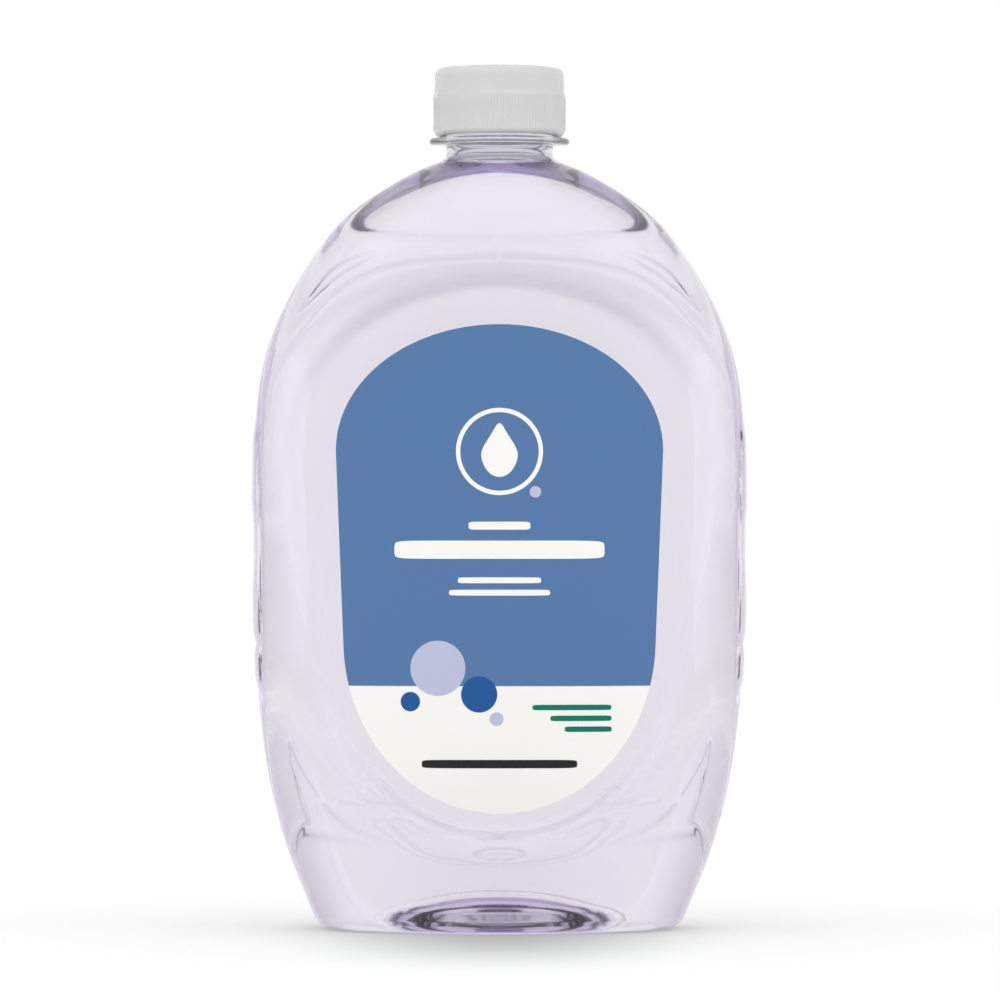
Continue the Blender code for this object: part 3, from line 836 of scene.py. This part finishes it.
@dataclass
class Bottle:
    """The blown bottle: hollow base, body, neck with its handling ring and screw thread, and the inside."""

    form: BodyForm
    columns: int = 216
    wall: float = 0.9
    neck_radius: float = 15.0
    bore_radius: float = 13.3
    ring_bottom: float = 219.0
    ring_top: float = 220.8
    ring_radius: float = 19.6
    land_height: float = 236.9
    thread: Thread = Thread(227.3)
    body_rows: int = 130
    inner_rows: int = 52

    def base(self, inset: float, dome_rows: int, heel_rows: int) -> list[Ring]:
        """Rings of the base, from its middle out over the hollow, the standing ring and the heel."""
        form = self.form
        rim_wide = form.ring_inner * form.base_width + inset
        rim_deep = form.ring_inner * form.base_depth + inset
        ovals = []
        for turn in np.linspace(0, pi / 2, dome_rows):
            dome = form.push_up * max(cos(turn), 0.0) ** form.dome_power
            gate = 0.5 * float(smooth_step(0.1, 0.07, np.array(sin(turn))))
            ovals.append((rim_wide * sin(turn), rim_deep * sin(turn), inset + dome - gate))
        for share in (0.3, 0.7, 1.0):
            wide = rim_wide + (form.base_width - rim_wide) * share
            ovals.append((wide, rim_deep + (form.base_depth - rim_deep) * share, inset))
        for turn in np.linspace(0, pi / 2 - form.heel_tilt, heel_rows)[1:-1]:
            out = (form.heel_radius - inset) * sin(turn)
            height = form.heel_radius - (form.heel_radius - inset) * cos(turn)
            ovals.append((form.base_width + out, form.base_depth + out, height))

        def ring(wide: float, deep: float, z: float) -> Ring:
            def place(angle: Array) -> tuple[Array, Array, Array]:
                power = form.squareness
                scale = (np.abs(np.cos(angle)) ** power + np.abs(np.sin(angle)) ** power) ** (-1 / power)
                return wide * scale * np.cos(angle), deep * scale * np.sin(angle), z + 0 * angle
            return place

        return [ring(*oval) for oval in ovals]

    def body(self, heights: Array, inset: float, fine: bool) -> list[Ring]:
        """Rings of the body's wall."""
        def ring(z: float) -> Ring:
            def place(angle: Array) -> tuple[Array, Array, Array]:
                points = self.form.wall(angle, np.full(angle.shape, z), inset, fine)
                return points[..., 0], points[..., 1], points[..., 2]
            return place
        return [ring(float(z)) for z in heights]

    def neck(self) -> list[Ring]:
        """Rings of the neck's outside, its lip and its bore."""
        foot, top = 216.0, self.form.shoulder_top
        fillet = arc((self.neck_radius + 1.1, foot), 1.1, 235, 180, 6)
        ring_bottom = arc((self.neck_radius + 0.5, self.ring_bottom - 0.5), 0.5, 180, 90, 4)
        edge = arc((self.ring_radius - 0.85, (self.ring_bottom + self.ring_top) / 2), 0.9, -85, 85, 9)
        profile = fillet + [(self.neck_radius, (foot + self.ring_bottom) / 2)] + ring_bottom + edge
        profile += [(self.neck_radius + 0.4, self.ring_top), (self.neck_radius, self.ring_top + 0.4)]
        rings = [round_ring(r, z) for r, z in profile]
        lip = arc((self.neck_radius - 0.5, self.land_height - 0.5), 0.5, 0, 90, 5)
        lip += arc((self.bore_radius + 0.4, self.land_height - 0.4), 0.4, 90, 180, 5)
        for z in np.linspace(self.ring_top + 1.2, self.land_height - 0.8, 52):
            rings.append(round_ring(self.thread.radius(self.neck_radius, float(z), 1), float(z)))
        rings += [round_ring(r, z) for r, z in lip]
        rings += [round_ring(self.bore_radius, z) for z in np.linspace(self.land_height - 3, top + 0.6, 7)]
        return rings

    def make(self, material: bpy.types.Material) -> bpy.types.Object:
        """Build the bottle."""
        form = self.form
        outside = even_heights(form, form.wall_bottom, 214.3, self.body_rows)
        inside = even_heights(form, form.wall_bottom, 214.6, self.inner_rows)[::-1]
        below, above = self.base(0.0, 22, 9), self.neck()
        rings = below + self.body(outside, 0.0, True) + above
        rings += self.body(inside, self.wall, False) + self.base(self.wall, 14, 6)[::-1]
        heights = np.zeros(len(rings))
        heights[len(below):len(below) + len(outside)] = outside
        mesh = rolled(rings, self.columns, heights)
        refine(mesh, form, (0.05, 0.35))
        return finish_piece("bottle_shell", mesh, [material], "bottle", ["bottle"], 60)


@dataclass
class Liquid:
    """The soap, whose skin lies inside the bottle's wall so that no film of air shows between them."""

    bottle: Bottle
    level: float
    columns: int = 240
    inset: float = 0.5

    def make(self, material: bpy.types.Material) -> bpy.types.Object:
        """Build the liquid."""
        form = self.bottle.form
        heights = even_heights(form, form.wall_bottom, self.level + self.inset, 70)
        rings = self.bottle.base(self.inset, 14, 8) + self.bottle.body(heights, self.inset, False)
        top = form.wall(np.zeros(1), np.array([self.level + self.inset]), self.inset)[0]
        for share in np.linspace(0.97, 0.0, 10):
            wide, deep = float(top[0]) * share, float(form.depths(self.level)) * share
            rise = 0.5 * share ** 14
            rings.append(lambda angle, w=wide, d=deep, z=self.level - 0.6 + rise:
                         (w * np.cos(angle), d * np.sin(angle), z + 0 * angle))
        mesh = rolled(rings, self.columns)
        return finish_piece("soap_fill", mesh, [material], "bottle", ["hand_soap"], 60)


@dataclass
class Cap:
    """The screw cap: plain rounded crown, finely ribbed skirt and the thread inside."""

    bottom: float
    top: float
    skirt_radius: float = 18.5
    crown_radius: float = 18.2
    step_height: float = 233.3
    bore_radius: float = 16.65
    deck: float = 238.9
    edge: float = 2.2
    ribs: int = 136
    rib_depth: float = 0.13
    thread: Thread = Thread(225.5)

    def ribbed(self, radius: float, share: float) -> Callable[[Array], Array]:
        """The skirt's radius round the cap, cut by the ribs' grooves by `share` of their depth."""
        return lambda angle: radius - self.rib_depth * share * (0.5 + 0.5 * np.cos(self.ribs * angle))

    def make(self, material: bpy.types.Material) -> bpy.types.Object:
        """Build the cap."""
        foot, step, wide = self.bottom, self.step_height, self.skirt_radius
        skirt = [
            (self.bore_radius + 0.3, foot, 0.0), (wide - 1.0, foot, 0.0),
            (wide - 0.75, foot + 0.15, 0.0), (wide - 0.2, foot + 1.1, 0.0),
            (wide, foot + 1.5, 0.2), (wide, foot + 1.9, 1.0),
            (wide, step - 1.6, 1.0), (wide, step - 1.2, 0.2),
            (wide, step - 0.5, 0.0), (wide - 0.12, step, 0.0),
            (self.crown_radius, step + 0.35, 0.0),
            (self.crown_radius - 0.1, self.top - self.edge - 1.5, 0.0),
        ]
        rings = [round_ring(self.ribbed(r, share), z) for r, z, share in skirt]
        rim = arc((self.crown_radius - 0.12 - self.edge, self.top - self.edge), self.edge, 0, 90, 10)
        dished, gate = self.top - 0.12, self.top - 0.38
        crown = [(14.0, self.top), (11.2, self.top), (10.9, dished), (6.0, dished), (1.3, dished),
                 (1.1, self.top - 0.35), (0.5, gate), (0.0, gate)]
        under = [(0.0, self.deck), (8.0, self.deck), (self.bore_radius - 0.5, self.deck),
                 (self.bore_radius - 0.1, self.deck - 0.15), (self.bore_radius, self.deck - 0.5)]
        rings += [round_ring(r, z) for r, z in rim + crown + under]
        for z in np.linspace(self.deck - 1.5, self.bottom + 0.8, 52):
            rings.append(round_ring(self.thread.radius(self.bore_radius, float(z), -1), float(z)))
        rings.append(round_ring(self.bore_radius, self.bottom + 0.4))
        rings.append(round_ring(self.bore_radius + 0.3, self.bottom))
        mesh = rolled(rings, self.ribs * 4)
        return finish_piece("screw_cap", mesh, [material], "cap", ["cap"], 50)


@dataclass
class Liner:
    """The foam seal under the cap's deck."""

    bottom: float
    top: float
    radius: float = 15.9

    def make(self, material: bpy.types.Material) -> bpy.types.Object:
        """Build the disc with softly rounded edges and the neck's lip printed into its underside."""
        soft = 0.35
        low, pressed = self.bottom, self.bottom + 0.08
        lower = [(0.0, low), (12.9, low), (13.3, pressed), (15.0, pressed), (15.3, low)]
        edge = arc((self.radius - soft, self.bottom + soft), soft, -90, 0, 5)
        edge += arc((self.radius - soft, self.top - soft), soft, 0, 90, 5)
        rings = [round_ring(r, z) for r, z in lower + edge + [(8.0, self.top), (0.0, self.top)]]
        mesh = rolled(rings, 128)
        return finish_piece("liner_disc", mesh, [material], "liner", ["cap_liner"], 50)


class Side(Enum):
    """Which face a label lies on."""

    FRONT = -1
    BACK = 1


@dataclass
class Label:
    """A thin film label laid on a face, with the simple shapes printed on it."""

    form: BodyForm
    side: Side
    size: float = 1.0
    lift: float = 0.02
    thickness: float = 0.12
    columns: int = 160
    rows: int = 28

    def sheet(self, outline: Callable[[Array], tuple[Array, Array]], middle: tuple[float, float],
              lift: float, thickness: float, rows: int, columns: int, hole: float = 0.0) -> bmesh.types.BMesh:
        """A thin closed sheet laid on the face.

        Args:
            outline: from angles to the outline's x and z.
            middle: (x, z) from which the sheet is spread.
            lift: how far its underside lies off the face.
            thickness: the sheet's thickness.
            rows: rings from the middle to the edge.
            columns: points round the outline.
            hole: share of the sheet that is left open in the middle.

        Returns:
            The sheet.
        """
        shares = np.linspace(hole, 1, rows)

        def ring(share: float, offset: float) -> Ring:
            def place(angle: Array) -> tuple[Array, Array, Array]:
                x, z = outline(angle)
                x, z = middle[0] + (x - middle[0]) * share, middle[1] + (z - middle[1]) * share
                points = self.form.face(x, z, self.side.value, offset)
                return points[..., 0], points[..., 1], points[..., 2]
            return place

        stack = [(share, lift) for share in shares]
        stack += [(share, lift + thickness) for share in shares[::-1]]
        if hole > 0:
            stack.append((hole, lift))
        return rolled([ring(float(share), offset) for share, offset in stack], columns)

    def make(self, name: str, node: str, materials: Sequence[bpy.types.Material]) -> bpy.types.Object:
        """Build the film, whose materials are the printed face and the back."""
        form = self.form.label
        mesh = self.sheet(lambda angle: form.point(angle, self.size), (0.0, form.middle), self.lift,
                          self.thickness, self.rows, self.columns)
        for face in mesh.faces:
            face.material_index = int(face.normal.y * self.side.value < 0)
        return finish_piece(name, mesh, materials, "bottle", [node], 50)

    def print_on(self, name: str, motifs: Sequence[Motif], inks: dict[Ink, bpy.types.Material]) -> None:
        """Print the motifs on the film, one piece for each ink.

        Args:
            name: start of the pieces' names.
            motifs: the shapes.
            inks: the finish of each ink.
        """
        for ink in Ink:
            printed = bmesh.new()
            for motif in (one for one in motifs if one.ink is ink):
                rows = 2 + int(max(motif.wide, motif.tall) * (1 - motif.hole) / 1.6)
                columns = 4 * int(6 + (motif.wide + motif.tall) / 1.2)
                mesh = self.sheet(motif.outline, (motif.x, motif.z), self.lift + self.thickness + 0.006,
                                  0.02, rows, columns, motif.hole)
                kept = bpy.data.meshes.new("motif")
                mesh.to_mesh(kept)
                mesh.free()
                printed.from_mesh(kept)
                bpy.data.meshes.remove(kept)
            if printed.faces:
                piece_name = f"{name}_{ink.name.lower()}"
                finish_piece(piece_name, printed, [inks[ink]], "bottle", [], 50)
            else:
                printed.free()


# ---------------------------------------------------------------- stage

@dataclass
class Studio:
    """A pale floor with a painted shadow round the bottle and a painted glow under it, soft light and a long
    lens that looks level at the bottle.
    """

    distance: float = 1.957
    eye_height: float = 0.11965
    lens: float = 251.6
    # colour of the painted shadow on the floor next to the bottle
    floor_painted_shadow: tuple[float, float, float] = (0.24, 0.24, 0.24)
    floor_far: tuple[float, float, float] = (0.60, 0.60, 0.60)
    shade_reach: tuple[float, float] = (0.068, 0.170)
    shade_forward: float = 0.03
    footprint: tuple[float, float] = (0.051, 0.031)
    # colour of the painted glow on the floor under the bottle's foot
    glow_under: tuple[float, float, float] = (1.7, 1.45, 2.5)
    roof: float = 0.22
    surround: tuple[tuple[float, float], ...] = (
        (-1.0, 0.86), (-0.7, 1.08), (-0.3, 1.22), (0.0, 1.01), (0.35, 0.65),
        (0.6, 0.70), (0.82, 0.83), (0.95, 0.99), (1.0, 1.04),
    )

    def floor(self) -> None:
        """Lay the floor, which glows faintly, with a painted shadow round the bottle and a painted lavender
        glow under its foot.
        """
        mesh = bmesh.new()
        bmesh.ops.create_grid(mesh, x_segments=1, y_segments=1, size=60.0)
        data = bpy.data.meshes.new("floor")
        mesh.to_mesh(data)
        mesh.free()
        recipe = Recipe("pale_floor")
        recipe.set(Roughness=0.9, Specular_IOR_Level=0.0, Emission_Strength=0.4)
        # painted shadow: the floor's colour and glow fall off in an oval round the bottle
        painted_shade = self.outwards(recipe, self.shade_reach, 0.0, self.shade_forward)
        recipe.link(recipe.blend(painted_shade, self.floor_painted_shadow, self.floor_far), recipe.shader.inputs["Base Color"])
        # painted light: a lavender glow under the bottle's foot, as if the floor were lit from beneath
        under = recipe.blend(self.outwards(recipe, self.footprint, 0.8, 0.0), self.glow_under, (0.75,) * 3)
        recipe.link(recipe.blend(painted_shade, under, (1.0,) * 3), recipe.shader.inputs["Emission Color"])
        data.materials.append(recipe.material)
        laid = bpy.data.objects.new("floor", data)
        bpy.context.scene.collection.objects.link(laid)
        laid.location.z = -0.0002

    def outwards(self, recipe: Recipe, reach: tuple[float, float], start: float,
                 forward: float) -> bpy.types.NodeSocket:
        """A value that rises from 0 to 1 over an oval round the middle of the floor.

        Args:
            recipe: the floor's material.
            reach: half-width and half-depth of the oval at which the value is 1.
            start: share of the reach at which it starts to rise.
            forward: how far the oval's middle lies towards the camera.

        Returns:
            The value's socket.
        """
        near = recipe.node("ShaderNodeVectorMath", operation="MULTIPLY_ADD")
        recipe.link(recipe.place, near.inputs[0])
        near.inputs[1].default_value = (1 / reach[0], 1 / reach[1], 0.0)
        near.inputs[2].default_value = (0.0, forward / reach[1], 0.0)
        away = recipe.node("ShaderNodeVectorMath", operation="LENGTH")
        recipe.link(near.outputs["Vector"], away.inputs[0])
        fade = recipe.node("ShaderNodeMapRange", interpolation_type="SMOOTHSTEP")
        recipe.link(away.outputs["Value"], fade.inputs["Value"])
        fade.inputs["From Min"].default_value = start
        return fade.outputs["Result"]

    def light(self) -> None:
        """Light the scene with a white surround that is dimmer beside and behind the camera."""
        world = bpy.data.worlds.new("studio")
        world.use_nodes = True
        bpy.context.scene.world = world
        tree = world.node_tree
        ground = tree.nodes["Background"]
        toward = tree.nodes.new("ShaderNodeTexCoord")
        split = tree.nodes.new("ShaderNodeSeparateXYZ")
        tree.links.new(toward.outputs["Generated"], split.inputs["Vector"])
        half = tree.nodes.new("ShaderNodeMapRange")
        half.inputs["From Min"].default_value = -1.0
        tree.links.new(split.outputs["Y"], half.inputs["Value"])
        ramp = tree.nodes.new("ShaderNodeValToRGB")
        ramp.color_ramp.interpolation = "CARDINAL"
        tree.links.new(half.outputs["Result"], ramp.inputs["Fac"])
        while len(ramp.color_ramp.elements) < len(self.surround):
            ramp.color_ramp.elements.new(0.5)
        for element, (toward_back, strength) in zip(ramp.color_ramp.elements, self.surround):
            element.position = (toward_back + 1) / 2
            element.color = (strength, strength, strength, 1)
        roof = tree.nodes.new("ShaderNodeMapRange")
        roof.interpolation_type = "SMOOTHSTEP"
        tree.links.new(split.outputs["Z"], roof.inputs["Value"])
        roof.inputs["From Min"].default_value = 0.35
        roof.inputs["From Max"].default_value = 0.95
        roof.inputs["To Max"].default_value = self.roof
        total = tree.nodes.new("ShaderNodeMath")
        tree.links.new(ramp.outputs["Color"], total.inputs[0])
        tree.links.new(roof.outputs["Result"], total.inputs[1])
        tree.links.new(total.outputs["Value"], ground.inputs["Strength"])
        ground.inputs["Color"].default_value = (1, 1, 1, 1)
        self.softbox("back_light", (0.0, 1.0, 1.25), (radians(-38.7), 0.0, 0.0), 1.6, 1.5)

    def softbox(self, name: str, place: tuple[float, float, float], turn: tuple[float, float, float],
                size: float, power: float) -> None:
        """Hang a square softbox.

        Args:
            name: its name.
            place: where it hangs.
            turn: how it is turned from facing straight down.
            size: its side.
            power: its power in watts.
        """
        lamp = bpy.data.lights.new(name, "AREA")
        lamp.size = size
        lamp.energy = power
        hung = bpy.data.objects.new(name, lamp)
        bpy.context.scene.collection.objects.link(hung)
        hung.location = place
        hung.rotation_euler = turn
        hung.visible_camera = False

    def camera(self) -> None:
        """Set the camera level at the bottle's middle."""
        lens = bpy.data.cameras.new("camera")
        lens.lens = self.lens
        lens.sensor_width = 36.0
        lens.clip_start, lens.clip_end = 0.05, 50.0
        eye = bpy.data.objects.new("camera", lens)
        bpy.context.scene.collection.objects.link(eye)
        eye.location = (0.00014, -self.distance, self.eye_height)
        eye.rotation_euler = (pi / 2, 0, 0)
        bpy.context.scene.camera = eye

    def tone(self) -> None:
        """Show plain colours, and let light through the many clear walls."""
        scene = bpy.context.scene
        scene.view_settings.view_transform = "Standard"
        scene.cycles.max_bounces = 24
        scene.cycles.transmission_bounces = 24
        scene.cycles.glossy_bounces = 8
        scene.cycles.transparent_max_bounces = 16

    def make(self) -> None:
        """Set up the whole stage."""
        self.floor()
        self.light()
        self.camera()
        self.tone()


# ---------------------------------------------------------------- the pack

def millimetres(node: str) -> tuple[Array, Array]:
    """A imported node's lowest and highest corners, in millimetres."""
    low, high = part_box(node)
    return np.array(low) / MM, np.array(high) / MM


def main() -> None:
    """Build the pack, piece by piece, and the stage round it."""
    logging.basicConfig(level=logging.INFO, format="%(message)s")
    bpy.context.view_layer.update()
    Studio().make()
    form = BodyForm()
    bottle = Bottle(form, land_height=float(millimetres("bottle")[1][2]))
    bottle.make(ClearPlastic().make())
    Liquid(bottle, float(millimetres("hand_soap")[1][2])).make(PaleLiquid().make())
    cap_low, cap_high = millimetres("cap")
    Cap(float(cap_low[2]), float(cap_high[2])).make(NaturalPlastic().make())
    liner_low, liner_high = millimetres("cap_liner")
    Liner(float(liner_low[2]), float(liner_high[2])).make(FoamDisc().make())
    white, blue = Ink.WHITE.value, Ink.BLUE.value
    backing = PrintedFilm("film_back", white, white).make()
    inks = {ink: PrintedFilm(f"{ink.name.lower()}_ink", ink.value, ink.value).make() for ink in Ink}
    front, back = Label(form, Side.FRONT), Label(form, Side.BACK, 0.72)
    front_face = PrintedFilm("front_print", blue, white).make()
    front.make("front_label_film", "front_label", [front_face, backing])
    front.print_on("front_print", FRONT_PRINT, inks)
    back_face = PrintedFilm("back_print", blue, white, 124.0).make()
    back.make("back_label_film", "back_label", [back_face, backing])
    back.print_on("back_print", BACK_PRINT, inks)


if __name__ == "__main__":
    main()
